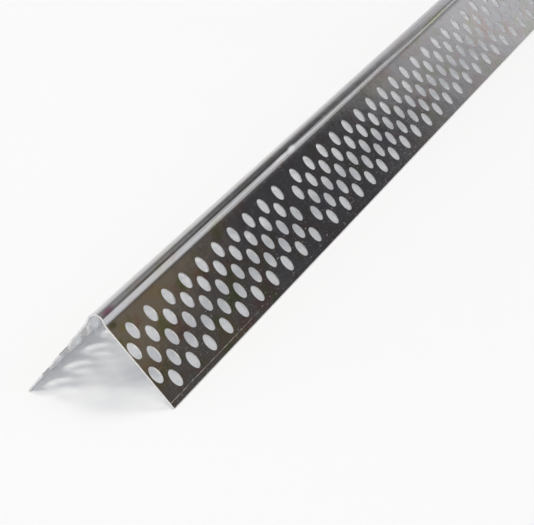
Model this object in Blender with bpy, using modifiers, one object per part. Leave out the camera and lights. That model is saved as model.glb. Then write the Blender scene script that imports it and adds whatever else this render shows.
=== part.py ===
"""Drywall corner bead: one strip of thin galvanised steel, punched with staggered round holes
and roll formed into two flanges that meet in a rounded nose. It lies as it is photographed, on
the edges of its flanges with the nose up, and its length runs along Y.

The strip is one piece of steel. It is kept as two solids, the right and the left flange, each
with its half of the nose, which meet face to face along the crest."""
import math

import bmesh
import bpy
from mathutils import Matrix, Vector

# Strip and section, in metres and degrees
length = 1.000            # along the foot that reaches furthest
sheet = 0.0004            # thickness of the steel
included_angle = 83.5     # between the two flanges
flange_width = 0.0304     # outer face, from the line where both outer faces would meet
nose_radius = 0.0025      # outer radius of the rounded nose
nose_rise = 0.0005        # how far the nose stands proud of a flange's outer face
crease_radius = 0.0036    # hollow bend between nose and flange, on the sheet's middle
arc_step = 9.0            # largest turn from one facet of a bend to the next
end_slant = 6.9           # the near end is cut this far out of square, seen from above

# Punched holes, the same on both flanges. Their rows are centred on a flange's flat
hole_diameter = 0.0050
hole_sides = 6
row_count = 5
row_spacing = 0.003944
hole_pitch = 0.0131       # from hole to hole along one row
first_column = 0.00185    # from the near end of the crest to the middle of the first column
first_stroke = 20         # columns that the near end leaves of the punch's first stroke
full_stroke = 40          # columns in a whole stroke
stroke_gap = 0.0040       # extra distance between one stroke and the next
far_rim = 0.0010          # least steel between the last column and the far end
punch_length = 0.0020     # reaches through the sheet on both sides

half_angle = math.radians(included_angle / 2)
slant = math.tan(math.radians(end_slant))
nose_drop = (nose_radius - nose_rise) / math.sin(half_angle)
foot_drop = flange_width * math.cos(half_angle) + sheet * math.sin(half_angle)
foot_reach = flange_width * math.sin(half_angle)

# The outer faces of the flanges would meet in a line above the nose. The apex is the point of
# that line over the near end of the crest. The origin lies on the floor under the middle of
# the bead, whose right foot reaches furthest at the near end
near_reach = foot_reach * slant
crest_length = length - near_reach
apex = Vector((0.0, near_reach - length / 2, foot_drop))
along = Vector((0.0, 1.0, 0.0))


def directions(side):
    """Down one flange, and out of its outer face. The right side is 1 and the left one is -1."""
    down = Vector((side * math.sin(half_angle), 0.0, -math.cos(half_angle)))
    out = Vector((side * math.cos(half_angle), 0.0, math.sin(half_angle)))
    return down, out


def bend(centre, radius, turns):
    """Points round a bend, at angles measured from straight up towards the right."""
    return [centre + Vector((radius * math.sin(turn), 0.0, radius * math.cos(turn)))
            for turn in turns]


def right_section():
    """Middle line of the sheet from the crest to the right foot, and where the flat begins,
    measured down the flange. The nose turns about a point on the bead's centre plane, with the
    crest in the middle of a level facet. The crease turns back about a point outside the sheet
    until it is flush with the flange."""
    down, out = directions(1)
    nose_middle = nose_radius - sheet / 2
    flange_depth = nose_radius - nose_rise - sheet / 2
    reach = nose_middle + crease_radius
    crease_turn = math.acos((flange_depth + crease_radius) / reach)
    flange_turn = math.pi / 2 - half_angle
    nose_turn = flange_turn + crease_turn
    step = math.radians(arc_step)

    nose_centre = Vector((0.0, 0.0, -nose_drop))
    nose_facets = math.ceil(nose_turn / step)
    nose_step = nose_turn / (nose_facets - 0.5)
    nose = bend(nose_centre, nose_middle, [nose_step * (i + 0.5) for i in range(nose_facets)])
    crest = Vector((0.0, 0.0, nose[0].z))

    crease_centre = bend(nose_centre, reach, [nose_turn])[0]
    crease_facets = math.ceil(crease_turn / step)
    crease_step = crease_turn / crease_facets
    crease = bend(crease_centre, -crease_radius,
                  [nose_turn - crease_step * (i + 1) for i in range(crease_facets)])

    foot = down * flange_width - out * sheet / 2
    return [crest] + nose + crease + [foot], crease[-1].dot(down)


def hole_places():
    """Middle of every hole of one flange, as distances down the flange and along the length.
    Columns of two and of three holes take turns, half a pitch apart, and each stroke of the
    punch ends with a wider gap. The far end is cut between two columns."""
    section, flat_start = right_section()
    first_row = (flat_start + flange_width - (row_count - 1) * row_spacing) / 2
    place = first_column
    column = 0
    left_in_stroke = first_stroke
    while place + hole_diameter / 2 + far_rim <= crest_length:
        for row in range(1 - column % 2, row_count, 2):
            yield first_row + row * row_spacing, place
        place += hole_pitch / 2
        column += 1
        left_in_stroke -= 1
        if left_in_stroke == 0:
            place += stroke_gap
            left_in_stroke = full_stroke


def object_from(bm, name, collection):
    mesh = bpy.data.meshes.new(name)
    bm.to_mesh(mesh)
    bm.free()
    made = bpy.data.objects.new(name, mesh)
    collection.objects.link(made)
    return made


def punches(name, side, collection):
    """The punches of one flange as one cutter. A punch has few sides, and its corners lie a
    little outside the real hole's circle, so that the hole keeps the circle's area."""
    down, out = directions(side)
    turn = Matrix((down, along, down.cross(along))).transposed().to_4x4()
    side_turn = 2 * math.pi / hole_sides
    corner_radius = hole_diameter / 2 * math.sqrt(side_turn / math.sin(side_turn))
    bm = bmesh.new()
    for hole_down, hole_along in hole_places():
        middle = apex + down * hole_down + along * hole_along - out * sheet / 2
        bmesh.ops.create_cone(bm, cap_ends=True, segments=hole_sides, radius1=corner_radius,
                              radius2=corner_radius, depth=punch_length,
                              matrix=Matrix.Translation(middle) @ turn)
    cutter = object_from(bm, name, collection)
    cutter.hide_render = True
    cutter.display_type = "WIRE"
    return cutter


def flange(name, side, collection, cutters, material):
    """One flange with its half of the nose: the middle line of the sheet carried from the
    slanted near end to the square far end, given its thickness, then punched."""
    section, flat_start = right_section()
    bm = bmesh.new()
    near = []
    for point in section:
        across = side * point.x
        near.append(bm.verts.new(apex + Vector((across, -across * slant, point.z))))
    edges = [bm.edges.new(pair) for pair in zip(near, near[1:])]
    for carried in bmesh.ops.extrude_edge_only(bm, edges=edges)["geom"]:
        if isinstance(carried, bmesh.types.BMVert):
            carried.co.y = apex.y + crest_length
    made = object_from(bm, name, collection)
    made.data.materials.append(material)

    wall = made.modifiers.new("sheet", "SOLIDIFY")
    wall.thickness = sheet
    wall.offset = 0.0
    wall.use_even_offset = True
    holes = made.modifiers.new("holes", "BOOLEAN")
    holes.operation = "DIFFERENCE"
    holes.solver = "EXACT"
    holes.object = punches(name + "_punches", side, cutters)
    return made


def galvanised_steel():
    material = bpy.data.materials.new("galvanised_steel")
    material.use_nodes = True
    shader = material.node_tree.nodes["Principled BSDF"]
    shader.inputs["Base Color"].default_value = (0.55, 0.55, 0.57, 1.0)
    shader.inputs["Metallic"].default_value = 1.0
    shader.inputs["Roughness"].default_value = 0.22
    return material


def new_collection(name):
    collection = bpy.data.collections.new(name)
    bpy.context.scene.collection.children.link(collection)
    return collection


for leftover in list(bpy.data.objects):
    bpy.data.objects.remove(leftover)
bead = new_collection("drywall_corner_bead")
cutters = new_collection("cutters")
steel = galvanised_steel()
flange("right_flange", 1, bead, cutters, steel)
flange("left_flange", -1, bead, cutters, steel)
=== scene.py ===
import math

import bmesh
import bpy
import numpy as np
from mathutils import Matrix, Vector


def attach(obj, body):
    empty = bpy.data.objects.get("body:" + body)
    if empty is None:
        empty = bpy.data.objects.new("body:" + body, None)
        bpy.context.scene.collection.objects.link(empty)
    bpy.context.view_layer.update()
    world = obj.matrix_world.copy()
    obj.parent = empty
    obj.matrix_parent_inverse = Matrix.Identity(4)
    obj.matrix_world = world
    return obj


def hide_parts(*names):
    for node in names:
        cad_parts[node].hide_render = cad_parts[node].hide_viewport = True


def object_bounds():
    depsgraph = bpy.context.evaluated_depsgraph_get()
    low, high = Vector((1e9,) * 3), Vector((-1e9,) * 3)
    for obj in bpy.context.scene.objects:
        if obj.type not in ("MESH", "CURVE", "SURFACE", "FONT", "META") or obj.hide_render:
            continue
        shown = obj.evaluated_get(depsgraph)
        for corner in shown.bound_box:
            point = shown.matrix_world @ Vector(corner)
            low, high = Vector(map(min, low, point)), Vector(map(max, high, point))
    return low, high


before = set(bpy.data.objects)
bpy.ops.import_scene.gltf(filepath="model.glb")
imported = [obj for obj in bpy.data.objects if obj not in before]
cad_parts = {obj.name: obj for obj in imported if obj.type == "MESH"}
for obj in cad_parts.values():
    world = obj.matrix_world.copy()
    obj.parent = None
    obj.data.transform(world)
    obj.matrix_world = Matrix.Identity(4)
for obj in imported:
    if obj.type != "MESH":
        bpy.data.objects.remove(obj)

cad_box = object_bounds()

# The punched strip
# One strip of bright zinc coated steel, 0.4 mm thick. It is punched flat with round holes in
# staggered rows, then roll formed: a rounded nose along the middle, a hollow crease on each
# side of it, and two flat flanges. Its near end is snipped a little out of square.
sheet = 0.0004                          # metres and degrees, on the finished bead
half_angle = math.radians(83.5 / 2)
flange_width = 0.0304                   # from the line where both outer faces would meet
nose_radius = 0.0025                    # outside
nose_rise = 0.0005
crease_radius = 0.0036                  # on the middle of the sheet
end_slant = math.tan(math.radians(6.9))
hole_radius = 0.0025
row_count = 5
row_spacing = 0.003944
column_spacing = 0.00655
first_column = 0.00185                  # from the near end of the crest
first_stroke = 20                       # columns left of the punch's first stroke
full_stroke = 40
stroke_gap = 0.0040
far_rim = 0.0010

nose_middle = nose_radius - sheet / 2
flange_depth = nose_radius - nose_rise - sheet / 2
crease_turn = math.acos((flange_depth + crease_radius) / (nose_middle + crease_radius))
nose_turn = math.pi / 2 - half_angle + crease_turn
nose_drop = (nose_radius - nose_rise) / math.sin(half_angle)
nose_end = nose_middle * nose_turn                   # distances across the flat strip
flat_begin = nose_end + crease_radius * crease_turn
crease_x = (nose_middle + crease_radius) * math.sin(nose_turn)      # the crease's centre
crease_z = (nose_middle + crease_radius) * math.cos(nose_turn) - nose_drop
near_reach = flange_width * math.sin(half_angle) * end_slant
near_crest = cad_box[0].y + near_reach
crest_length = cad_box[1].y - near_crest
apex_height = flange_width * math.cos(half_angle) + sheet * math.sin(half_angle)


def fold(across, along):
    """Where a point of the flat strip ends up on the bead. across is measured from the crest,
    negative to the left, and along from the crest's near end. Up to nose_end the point turns
    about the nose's centre, with angle across / nose_middle. Up to flat_begin it turns back
    about the crease's centre, which lies outside the sheet. From there it runs straight down
    the flange."""
    side = np.where(across < 0, -1.0, 1.0)
    reach = np.abs(across)
    turn = np.minimum(reach, nose_end) / nose_middle
    x = nose_middle * np.sin(turn)
    z = nose_middle * np.cos(turn) - nose_drop
    back = nose_turn - (np.minimum(reach, flat_begin) - nose_end) / crease_radius
    in_crease = reach > nose_end
    x = np.where(in_crease, crease_x - crease_radius * np.sin(back), x)
    z = np.where(in_crease, crease_z - crease_radius * np.cos(back), z)
    straight = np.maximum(reach - flat_begin, 0.0)
    x = x + straight * math.sin(half_angle)
    z = z - straight * math.cos(half_angle)
    return np.stack([side * x, near_crest + along, apex_height + z], axis=-1)


def column_middles():
    """Distance of every column of holes from the near end: even steps, with stroke_gap added
    after the first stroke and after each full one."""
    number = np.arange(int(crest_length / column_spacing))
    strokes = (number - first_stroke) // full_stroke + 1
    middles = first_column + number * column_spacing + strokes * stroke_gap
    return middles[middles + hole_radius + far_rim <= crest_length]


# How far down a flange its flat part begins, from the line where both outer faces would meet.
# It is where the crease's centre lies squarely off the flange
flat_from_apex = crease_x * math.sin(half_angle) - crease_z * math.cos(half_angle)
foot = flat_begin + flange_width - flat_from_apex
first_row = (flat_begin + foot - (row_count - 1) * row_spacing) / 2
last_row = first_row + (row_count - 1) * row_spacing


class Blank:
    """Flat faces of the strip, gathered patch by patch as (across, along) points."""

    def __init__(self):
        self.points = []
        self.faces = []
        self.count = 0

    def add(self, points, faces):
        """Adds like patches: points[patch, corner, 2], and the faces of the first of them."""
        patches, corners = points.shape[:2]
        shift = self.count + corners * np.arange(patches)
        for face in faces:
            self.faces += (np.asarray(face)[None] + shift[:, None]).tolist()
        self.points.append(points.reshape(-1, 2))
        self.count += patches * corners


def grid_patch(blank, across, along):
    """A grid for each patch: along[patch, column] crossed with the shared across[row]."""
    rows, columns = len(across), along.shape[1]
    points = np.empty((len(along), rows, columns, 2))
    points[..., 0] = across[None, :, None]
    points[..., 1] = along[:, None, :]
    corner = (np.arange(rows - 1)[:, None] * columns + np.arange(columns - 1)[None]).ravel()
    faces = np.stack([corner, corner + 1, corner + columns + 1, corner + columns], axis=1)
    blank.add(points.reshape(len(along), -1, 2), faces)


cell_rows = 8                           # a hole's cell is cut into this many steps across
cell_columns = 4                        # and this many along
cell_half = row_spacing                 # each cell reaches to the next row on both sides
cell_step = 2 * cell_half / cell_rows


def hole_patch(blank, middle_across, start, end, middle):
    """A rectangular cell with a round hole: points at even steps round the cell's outline are
    joined to as many points at even angles round the hole."""
    up = np.linspace(-1, 1, cell_rows + 1)
    over = np.linspace(0, 1, cell_columns + 1)
    share = np.concatenate([np.zeros(cell_rows), over[:-1], np.ones(cell_rows), over[:0:-1]])
    level = np.concatenate([up[:-1], np.ones(cell_columns), up[:0:-1], -np.ones(cell_columns)])
    corners = len(share)
    angle = 2 * math.pi * (np.arange(corners) - cell_rows / 2) / corners
    points = np.empty((len(start), 2 * corners, 2))
    points[:, :corners, 0] = middle_across + level * cell_half
    points[:, :corners, 1] = start[:, None] + share * (end - start)[:, None]
    points[:, corners:, 0] = middle_across + hole_radius * np.sin(angle)
    points[:, corners:, 1] = middle[:, None] - hole_radius * np.cos(angle)
    here = np.arange(corners)
    after = (here + 1) % corners
    blank.add(points, np.stack([here, after, corners + after, corners + here], axis=1))


# Each column of holes has its own stretch of the strip, up to halfway to the next columns
middles = column_middles()
blank_start = -0.0035                   # the strip before its near end is snipped
edges = np.concatenate([[blank_start], (middles[1:] + middles[:-1]) / 2, [crest_length]])
starts, stops = edges[:-1], edges[1:]
ends = np.stack([starts, stops], axis=1)
divisions = starts[:, None] + np.linspace(0, 1, cell_columns + 1) * np.diff(edges)[:, None]

# The nose and the crease, then one face for each column that joins them to the finer cells
blank = Blank()
nose_steps = 12
crease_steps = 6
hold = 0.00015                          # keeps the flat flange from shading like the bend
bends = np.concatenate([np.linspace(0, nose_end, nose_steps + 1),
                        np.linspace(nose_end, flat_begin, crease_steps + 1)[1:],
                        [flat_begin + hold]])
grid_patch(blank, bends, ends)
first_cell = first_row - cell_half
upper = np.stack([np.full_like(ends, bends[-1]), ends], axis=-1)
lower = np.stack([np.full_like(divisions, first_cell), divisions], axis=-1)
join = np.concatenate([upper, lower[:, ::-1]], axis=1)
blank.add(join, [np.arange(join.shape[1])])

# Columns of two and of three holes take turns. Half a cell of plain strip above and below the
# two holes makes their columns as tall as the others, and a plain rim runs on to the foot
of_two, of_three = slice(0, None, 2), slice(1, None, 2)
plain_steps = cell_step * np.arange(cell_rows // 2 + 1)
rim = np.array([last_row + cell_half, foot])
for chosen, rows in (of_two, range(1, row_count, 2)), (of_three, range(0, row_count, 2)):
    for row in rows:
        hole_patch(blank, first_row + row * row_spacing, starts[chosen], stops[chosen],
                   middles[chosen])
    if chosen is of_two:
        grid_patch(blank, first_cell + plain_steps, divisions[chosen])
        grid_patch(blank, last_row + plain_steps, divisions[chosen])
    grid_patch(blank, rim, divisions[chosen])

right = np.concatenate(blank.points)
flat = np.concatenate([right, right * (-1, 1)])
left_faces = [[blank.count + corner for corner in reversed(face)] for face in blank.faces]
mesh = bpy.data.meshes.new("corner_bead")
mesh.from_pydata(fold(flat[:, 0], flat[:, 1]), [], blank.faces + left_faces)
strip = mesh.attributes.new("strip", "FLOAT_VECTOR", "POINT")
strip.data.foreach_set("vector", np.insert(flat, 2, 0.0, axis=1).ravel())

# The patches are joined, the near end is snipped, and the outside, which always looks up a
# little, is turned outwards
merge_distance = 0.00001
bm = bmesh.new()
bm.from_mesh(mesh)
bmesh.ops.remove_doubles(bm, verts=bm.verts, dist=merge_distance)
bmesh.ops.bisect_plane(bm, geom=bm.verts[:] + bm.edges[:] + bm.faces[:], clear_inner=True,
                       plane_co=(0, near_crest, 0), plane_no=(end_slant, 1, 0),
                       dist=merge_distance)
bmesh.ops.recalc_face_normals(bm, faces=bm.faces)
if bm.faces[:][0].normal.z < 0:
    bmesh.ops.reverse_faces(bm, faces=bm.faces)
bm.to_mesh(mesh)
bm.free()
bead = bpy.data.objects.new("corner_bead", mesh)
bpy.context.scene.collection.objects.link(bead)
zinc, inner_zinc, sheared_steel = (bpy.data.materials.new(name) for name in
                                   ("zinc", "inner_zinc", "sheared_steel"))
for material in (zinc, inner_zinc, sheared_steel):
    mesh.materials.append(material)
thicken = bead.modifiers.new("sheet", "SOLIDIFY")
thicken.thickness = sheet
thicken.offset = 0.0
thicken.use_even_offset = True
thicken.material_offset = 1
thicken.material_offset_rim = 2
bead.data = bpy.data.meshes.new_from_object(bead.evaluated_get(
    bpy.context.evaluated_depsgraph_get()))
bead.modifiers.clear()
sharp_angle = math.radians(40)
bead.data.shade_smooth()
bead.data.set_sharp_from_angle(angle=sharp_angle)
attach(bead, "root")
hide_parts("right_flange", "left_flange")


# The zinc coat
# The steel is hot dipped, so it carries a thin bright skin of zinc. The rolls leave it almost
# mirror smooth, with shallow waves, dull lines along the nose and one line beside the foot. It
# has stained straw, plum and green, and handling has left specks and scratches. A small white
# patch with a faint tail on the crease's light band is a painted glint.
class Wire:
    """One output of a material's nodes. Arithmetic on wires adds the Math nodes that do it."""

    def __init__(self, tree, socket=None):
        self.tree = tree
        self.socket = socket

    def add(self, kind, settings, values, output=0):
        """Any node: its settings are set first, then the values or wires of its sockets."""
        node = self.tree.nodes.new(kind)
        for name, value in settings.items():
            setattr(node, name, value)
        for name, value in values.items():
            if isinstance(value, Wire):
                self.tree.links.new(value.socket, node.inputs[name])
            else:
                node.inputs[name].default_value = value
        return Wire(self.tree, node.outputs[output])

    def math(self, operation, first, second=0.0):
        return self.add("ShaderNodeMath", {"operation": operation}, {0: first, 1: second})

    def __add__(self, other):
        return self.math("ADD", self, other)

    def __radd__(self, other):
        return self.math("ADD", other, self)

    def __sub__(self, other):
        return self.math("SUBTRACT", self, other)

    def __rsub__(self, other):
        return self.math("SUBTRACT", other, self)

    def __mul__(self, other):
        return self.math("MULTIPLY", self, other)

    def __rmul__(self, other):
        return self.math("MULTIPLY", other, self)

    def __abs__(self):
        return self.math("ABSOLUTE", self)

    def largest(self, other):
        return self.math("MAXIMUM", self, other)

    def smallest(self, other):
        return self.math("MINIMUM", self, other)

    def step(self, low, high, kind="SMOOTHSTEP"):
        """0 at low and 1 at high, smooth between. low may be the larger of the two."""
        return self.add("ShaderNodeMapRange", {"interpolation_type": kind},
                        {"Value": self, "From Min": low, "From Max": high})

    def part(self, number):
        """X, Y or Z of a vector."""
        return self.add("ShaderNodeSeparateXYZ", {}, {"Vector": self}, output=number)

    def stretched(self, *scale, turn=0.0):
        """A small scale draws a pattern out along that axis."""
        return self.add("ShaderNodeMapping", {}, {"Vector": self, "Scale": scale,
                                                  "Rotation": (0, 0, turn)})

    def noise(self, scale, detail):
        return self.add("ShaderNodeTexNoise", {}, {"Vector": self, "Scale": scale,
                                                   "Detail": detail, "Roughness": 0.5})

    def spot(self, middle, reach):
        """1 at the middle of an oval and 0 at its rim, which is reach away across and along."""
        from_middle = self.add("ShaderNodeVectorMath", {"operation": "SUBTRACT"},
                               {0: self, 1: (*middle, 0)})
        scaled = self.add("ShaderNodeVectorMath", {"operation": "DIVIDE"},
                          {0: from_middle, 1: (*reach, 1)})
        distance = self.add("ShaderNodeVectorMath", {"operation": "LENGTH"}, {0: scaled},
                            output="Value")
        return distance.step(1.0, 0.2)

    def between(self, first, second):
        """The first colour where this wire is 0, and the second one where it is 1."""
        return self.add("ShaderNodeMix", {"data_type": "RGBA"}, {0: self, 6: first, 7: second},
                        output=2)

    def blend(self, other, amount):
        """This colour, with another one over it by an amount from 0 to 1."""
        return amount.between(self, other)

    def relief(self):
        """The normals of a surface that this wire raises, in metres."""
        return self.add("ShaderNodeBump", {}, {"Height": self, "Distance": 1.0,
                                               "Strength": 1.0})

    def feed(self, shader, name):
        self.tree.links.new(self.socket, shader.inputs[name])


def nodes_of(material):
    material.use_nodes = True
    return material.node_tree.nodes["Principled BSDF"], Wire(material.node_tree)


def place_on_strip(wire):
    """X across the flat strip from the crest, and Y along it from the crest's near end."""
    return wire.add("ShaderNodeAttribute", {"attribute_name": "strip"}, {}, output="Vector")


shader, wire = nodes_of(zinc)
place = place_on_strip(wire)
reach, along = abs(place.part(0)), place.part(1)
on_nose = reach.step(flat_begin, nose_end)

bare_zinc = (0.67, 0.665, 0.675, 1)
straw = (0.70, 0.58, 0.36, 1)
plum = (0.66, 0.43, 0.42, 1)
green = (0.46, 0.56, 0.30, 1)
clouds = place.stretched(1, 0.45, 1)
stained = clouds.noise(75, 3).step(0.48, 0.62)
reddened = clouds.noise(125, 3).step(0.53, 0.64)
greened = clouds.noise(155, 3).step(0.54, 0.65)
near_stain = along.step(0.110, 0.060)   # metres: the stain is strongest near the near end
strength = (0.40 + 0.60 * near_stain) * (1.0 - 0.6 * on_nose)
colour = (stained * strength * 0.65).between(bare_zinc, straw)
colour = colour.blend(plum, reddened * strength * 0.75).blend(green, greened * strength * 0.85)

wine = (0.52, 0.20, 0.32, 1)
moss = (0.60, 0.62, 0.24, 1)
tarnish = (0.22, 0.27, 0.13, 1)
for tint, middle, half_size, amount in (                # metres across and along
        (wine, (0.0016, 0.0045), (0.0011, 0.0060), 0.9),
        (moss, (0.0031, 0.3150), (0.0009, 0.0240), 0.7),
        (tarnish, (0.0052, 0.0025), (0.0013, 0.0035), 0.8),
        (moss, (0.0072, 0.0055), (0.0016, 0.0040), 0.6)):
    colour = colour.blend(tint, place.spot(middle, half_size) * amount)

dull = (0.44, 0.44, 0.44, 1)
glint_white = (0.97, 0.97, 0.98, 1)
speckle = place.noise(2600, 2).step(0.35, 0.65)
streaks = place.stretched(1, 0.004, 1).noise(1900, 2).step(0.48, 0.66)
streaks = streaks * reach.step(flat_begin + 0.0006, flat_begin - 0.0004)
# painted glint: a white, non-metallic patch with a faint tail on the crease's light band, standing
# in for a bright glint
painted_glint = place.spot((0.0028, 0.1530), (0.0012, 0.0052))
painted_glint = painted_glint.largest(place.spot((0.0027, 0.1430), (0.0008, 0.0110)) * 0.6)       # its faint tail
colour = colour.blend(dull, speckle * 0.10).blend(dull, streaks * 0.60).blend(glint_white, painted_glint)

line_middle = foot - 0.00145            # the mark that a roll left beside the foot
line_half = 0.00016
line_end, line_fade = 0.085, 0.045      # metres along, and how far it fades before that
rubbed = (0.72, 0.72, 0.70, 1)
rolled_line = reach.step(line_middle - line_half, line_middle) - reach.step(
    line_middle, line_middle + line_half)
rolled_line = rolled_line * place.stretched(1, 0.14, 1).noise(1500, 2).step(0.24, 0.62)
rolled_line = rolled_line * (0.12 + 0.73 * along.step(line_end, line_end - line_fade))
colour = colour.blend(rubbed, rolled_line)
colour.feed(shader, "Base Color")

# The relief that the rolls leave, with each height in metres
waves = place.stretched(1, 0.3, 1).noise(85, 1)
ripples = place.stretched(1, 0.5, 1).noise(190, 2)
dimples = place.stretched(1, 0.6, 1).noise(320, 2)
grain = place.stretched(1, 0.4, 1).noise(900, 2)
grooves = place.stretched(1, 0.006, 1).noise(1500, 3) * on_nose
height = waves * 0.00004 + ripples * 0.000022 + dimples * 0.000008 + grain * 0.0000010
height = height + grooves * 0.00010
height.relief().feed(shader, "Normal")

dust = place.noise(4800, 1).step(0.67, 0.75)
long_scratches = place.stretched(1, 0.06, 1).noise(4600, 1).step(0.70, 0.77)
cross_scratches = place.stretched(0.08, 1, 1).noise(5000, 1).step(0.73, 0.80)
slant_scratches = place.stretched(1, 0.07, 1, turn=0.9).noise(4600, 1).step(0.71, 0.78)
towards_foot = 0.45 + 0.45 * reach.step(foot * 0.45, foot * 0.8)
scuffs = (dust + long_scratches + cross_scratches + slant_scratches) * towards_foot + rolled_line
worn = place.noise(240, 3).step(0.40, 0.75)
in_crease = reach.step(flat_begin + 0.0012, flat_begin - 0.0008) * reach.step(
    nose_end - 0.0004, nose_end + 0.0008)
roughness = 0.055 + worn * 0.03 + on_nose * 0.04 + in_crease * 0.12 + scuffs * 0.32
roughness.feed(shader, "Roughness")
# the painted glint patch is not metallic, and the scuffs are partly dull
metal = (1.0 - (painted_glint + scuffs * 0.35)).largest(0.0)
metal.feed(shader, "Metallic")

# The inner side of the coat
# The flanges' inner faces never touched the rolls. They are a cooler, duller zinc, whose blue
# tints the shade under the bead.
shader, wire = nodes_of(inner_zinc)
place = place_on_strip(wire)
cool_zinc = (0.84, 0.86, 0.91, 1)
pale_zinc = (0.93, 0.95, 0.97, 1)
clouds = place.stretched(1, 0.5, 1).noise(70, 3).step(0.4, 0.65)
colour = clouds.between(cool_zinc, pale_zinc)
colour.feed(shader, "Base Color")
ripples = place.stretched(1, 0.5, 1).noise(260, 2)
(ripples * 0.00002).relief().feed(shader, "Normal")
(0.24 + clouds * 0.08).feed(shader, "Roughness")
shader.inputs["Metallic"].default_value = 1.0


# The sheared edges
# Punch and shears leave the bare steel of the strip's thickness open, at every hole and at
# both ends. It is paler and rougher than the coat, and mottled where the cut has torn.
def place_on_object(wire):
    return wire.add("ShaderNodeTexCoord", {}, {}, output="Object")


shader, wire = nodes_of(sheared_steel)
cut_steel = (0.68, 0.66, 0.65, 1)
bright_steel = (0.83, 0.81, 0.79, 1)
torn = place_on_object(wire).noise(2600, 1)
colour = torn.step(0.35, 0.65).between(cut_steel, bright_steel)
colour.feed(shader, "Base Color")
(0.28 + torn * 0.16).feed(shader, "Roughness")
shader.inputs["Metallic"].default_value = 1.0

# The floor
# A white board under the bead. It glows a little to the eye, as a light table does, so that
# the shade under the bead stays as pale as in the photograph.
floor_half = 10.0
corners = np.array([(-1, -1, 0), (1, -1, 0), (1, 1, 0), (-1, 1, 0)]) * floor_half
floor_mesh = bpy.data.meshes.new("floor")
floor_mesh.from_pydata(corners, [], [(0, 1, 2, 3)])
floor = bpy.data.objects.new("floor", floor_mesh)
bpy.context.scene.collection.objects.link(floor)
white_board = bpy.data.materials.new("white_board")
board, wire = nodes_of(white_board)
board.inputs["Base Color"].default_value = (0.96, 0.96, 0.96, 1)
board.inputs["Roughness"].default_value = 1.0
board.inputs["Specular IOR Level"].default_value = 0.0


def seen(wire):
    """1 for the rays that show the background: those of the camera, mirrors and glass."""
    eye, mirror, glass = (wire.add("ShaderNodeLightPath", {}, {}, output=kind)
                          for kind in ("Is Camera Ray", "Is Glossy Ray", "Is Transmission Ray"))
    return eye.largest(mirror).largest(glass)


white = (0.955, 0.955, 0.955, 1)
shade_lift = 0.11                       # share of glow that the eye sees in the board
glow = wire.add("ShaderNodeEmission", {}, {"Color": white, "Strength": 1.0})
mixed = wire.add("ShaderNodeMixShader", {}, {0: seen(wire) * shade_lift,
                 1: Wire(wire.tree, board.outputs[0]), 2: glow})
mixed.feed(white_board.node_tree.nodes["Material Output"], "Surface")
floor_mesh.materials.append(white_board)


# The dark of the room
# What the mirror-bright steel shows: unlit walls past both ends of the bead, dark floor in front
# of the far one, and a ceiling that darkens towards its sides. Only reflections see them.
def room_side(name, corners):
    """A flat sheet with these corners that only reflections see. Gives a wire of the places on
    it, and its material."""
    mesh = bpy.data.meshes.new(name)
    mesh.from_pydata(corners, [], [(0, 1, 2, 3)])
    wall = bpy.data.objects.new(name, mesh)
    bpy.context.scene.collection.objects.link(wall)
    for kind in ("camera", "diffuse", "transmission", "volume_scatter", "shadow"):
        setattr(wall, "visible_" + kind, False)
    material = bpy.data.materials.new(name)
    shader, wire = nodes_of(material)
    material.node_tree.nodes.remove(shader)
    mesh.materials.append(material)
    return place_on_object(wire), material


def shine(colour, material):
    """The sheet shows this colour as it is, whatever light falls on it."""
    emission = colour.add("ShaderNodeEmission", {}, {"Color": colour, "Strength": 1.0})
    emission.feed(material.node_tree.nodes["Material Output"], "Surface")


def grey(level):
    return (level, level, level, 1)


room_half = 3.4                         # metres: the room's half width, walls and heights
near_y, far_y = -3.6, 3.0
wall_height = 3.0
ceiling_height = 3.1
far_left = -3.0
spot, material = room_side("far_wall", [(far_left, far_y, 0), (room_half, far_y, 0),
                                        (room_half, far_y, wall_height),
                                        (far_left, far_y, wall_height)])
# The borders of its areas are straight. Each expression in x and z stays the same all along
# such a border, and the two numbers of its step say where the change begins and ends, in metres
x, z = spot.part(0), spot.part(2)
beside = (1.6 * x - 1.52).smallest(0.6 * x - 0.59)
inside = (0.57 * x + 0.86 * z - 1.30).largest(0.12 * x + z - 1.38).largest(beside)
unlit = inside.step(-0.13, 0.12) * x.step(-0.8, -0.1)
darkest = (x - 0.37 * z).step(0.695, 0.74) * z.step(0.70, 0.88)
to_the_right = x.step(1.27, 1.42)
brown = (z - 0.375 * x).step(0.595, 0.67) * x.step(1.18, 1.34)
pale_foot = (z - 0.66 * x).step(0.07, -0.82, "LINEAR") * (0.27 + 0.73 * x.step(1.20, 1.50))
shaded_white = (0.605, 0.60, 0.62, 1)
cold_black = (0.055, 0.054, 0.061, 1)
warm_black = (0.085, 0.079, 0.074, 1)
dark_wood = (0.185, 0.152, 0.112, 1)
floor_light = (0.79, 0.80, 0.83, 1)
lit = x.step(-0.5, -1.9).between(shaded_white, white)
gloom = (z + 0.4 * x).step(1.66, 2.00).between(grey(0.095), grey(0.33))
colour = lit.blend(gloom, unlit).blend(cold_black, darkest)
colour = colour.blend(warm_black, darkest * to_the_right)
colour = colour.blend(dark_wood, brown).blend(floor_light, pale_foot)
shine(colour, material)

dark_left, dark_start = 0.1, 0.78
above_board = 0.0005
spot, material = room_side("dark_floor", [(dark_left, dark_start, above_board),
                                          (room_half, dark_start, above_board),
                                          (room_half, far_y, above_board),
                                          (dark_left, far_y, above_board)])
dim = spot.part(1).step(dark_start, 1.05) * spot.part(0).step(dark_left, 0.35)
shine(dim.between(white, grey(0.30)), material)

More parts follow.
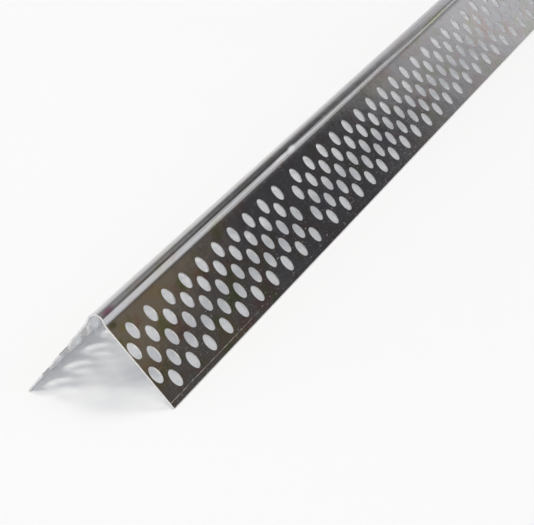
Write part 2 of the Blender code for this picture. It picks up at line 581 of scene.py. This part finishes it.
spot, material = room_side("near_wall", [(room_half, near_y, 0), (-room_half, near_y, 0),
                                         (-room_half, near_y, wall_height),
                                         (room_half, near_y, wall_height)])
unlit = abs(spot.part(0)).step(0.5, 1.0) * spot.part(2).step(0.3, 0.9)
shine(unlit.between(white, grey(0.12)), material)

spot, material = room_side("ceiling", [(room_half, near_y, ceiling_height),
                                       (room_half, far_y, ceiling_height),
                                       (-room_half, far_y, ceiling_height),
                                       (-room_half, near_y, ceiling_height)])
unlit = abs(spot.part(0)).step(0.7, 1.5)
shine(unlit.between(white, grey(0.22)), material)

# Light
# Two large softboxes, a little warm: one in front of the bead and to its left, and a weaker one
# behind it. The white room fills in cooler light, so that the open floor comes out neutral.
scene = bpy.context.scene
scene.view_settings.view_transform = "Standard"
world = bpy.data.worlds.new("white_room")
scene.world = world
world.use_nodes = True
fill = (0.525, 0.54, 0.572, 1)
seen(Wire(world.node_tree)).between(fill, white).feed(world.node_tree.nodes["Background"], "Color")

lit_middle = Vector((0, -0.3, 0))       # what both softboxes face
warm = (1.0, 0.967, 0.90)
for name, size, energy, offset in (("softbox", 2.0, 87, (-1.3, -2.6, 4.0)),
                                   ("back_softbox", 1.8, 41, (-0.8, 1.5, 4.0))):
    softbox_data = bpy.data.lights.new(name, "AREA")
    softbox_data.size = size
    softbox_data.energy = energy
    softbox_data.color = warm
    softbox = bpy.data.objects.new(name, softbox_data)
    softbox.location = lit_middle + Vector(offset)
    softbox.rotation_euler = Vector(offset).to_track_quat("Z", "Y").to_euler()
    softbox.visible_glossy = False
    scene.collection.objects.link(softbox)

# The camera
# It looks down the bead from its near end, 18 degrees above the floor, from the right.
camera_data = bpy.data.cameras.new("camera")
camera_data.lens = 202.70
camera_data.sensor_width = 36.0
camera = bpy.data.objects.new("camera", camera_data)
scene.collection.objects.link(camera)
eye = Vector((0.26387, -1.14199, 0.25983))
right_of_view = Vector((0.95071, 0.30639, -0.04766))
up_of_view = Vector((-0.05194, 0.30891, 0.94967))
back_of_view = right_of_view.cross(up_of_view)
turn = Matrix((right_of_view, up_of_view, back_of_view)).transposed()
camera.matrix_world = Matrix.Translation(eye) @ turn.to_4x4()
scene.camera = camera
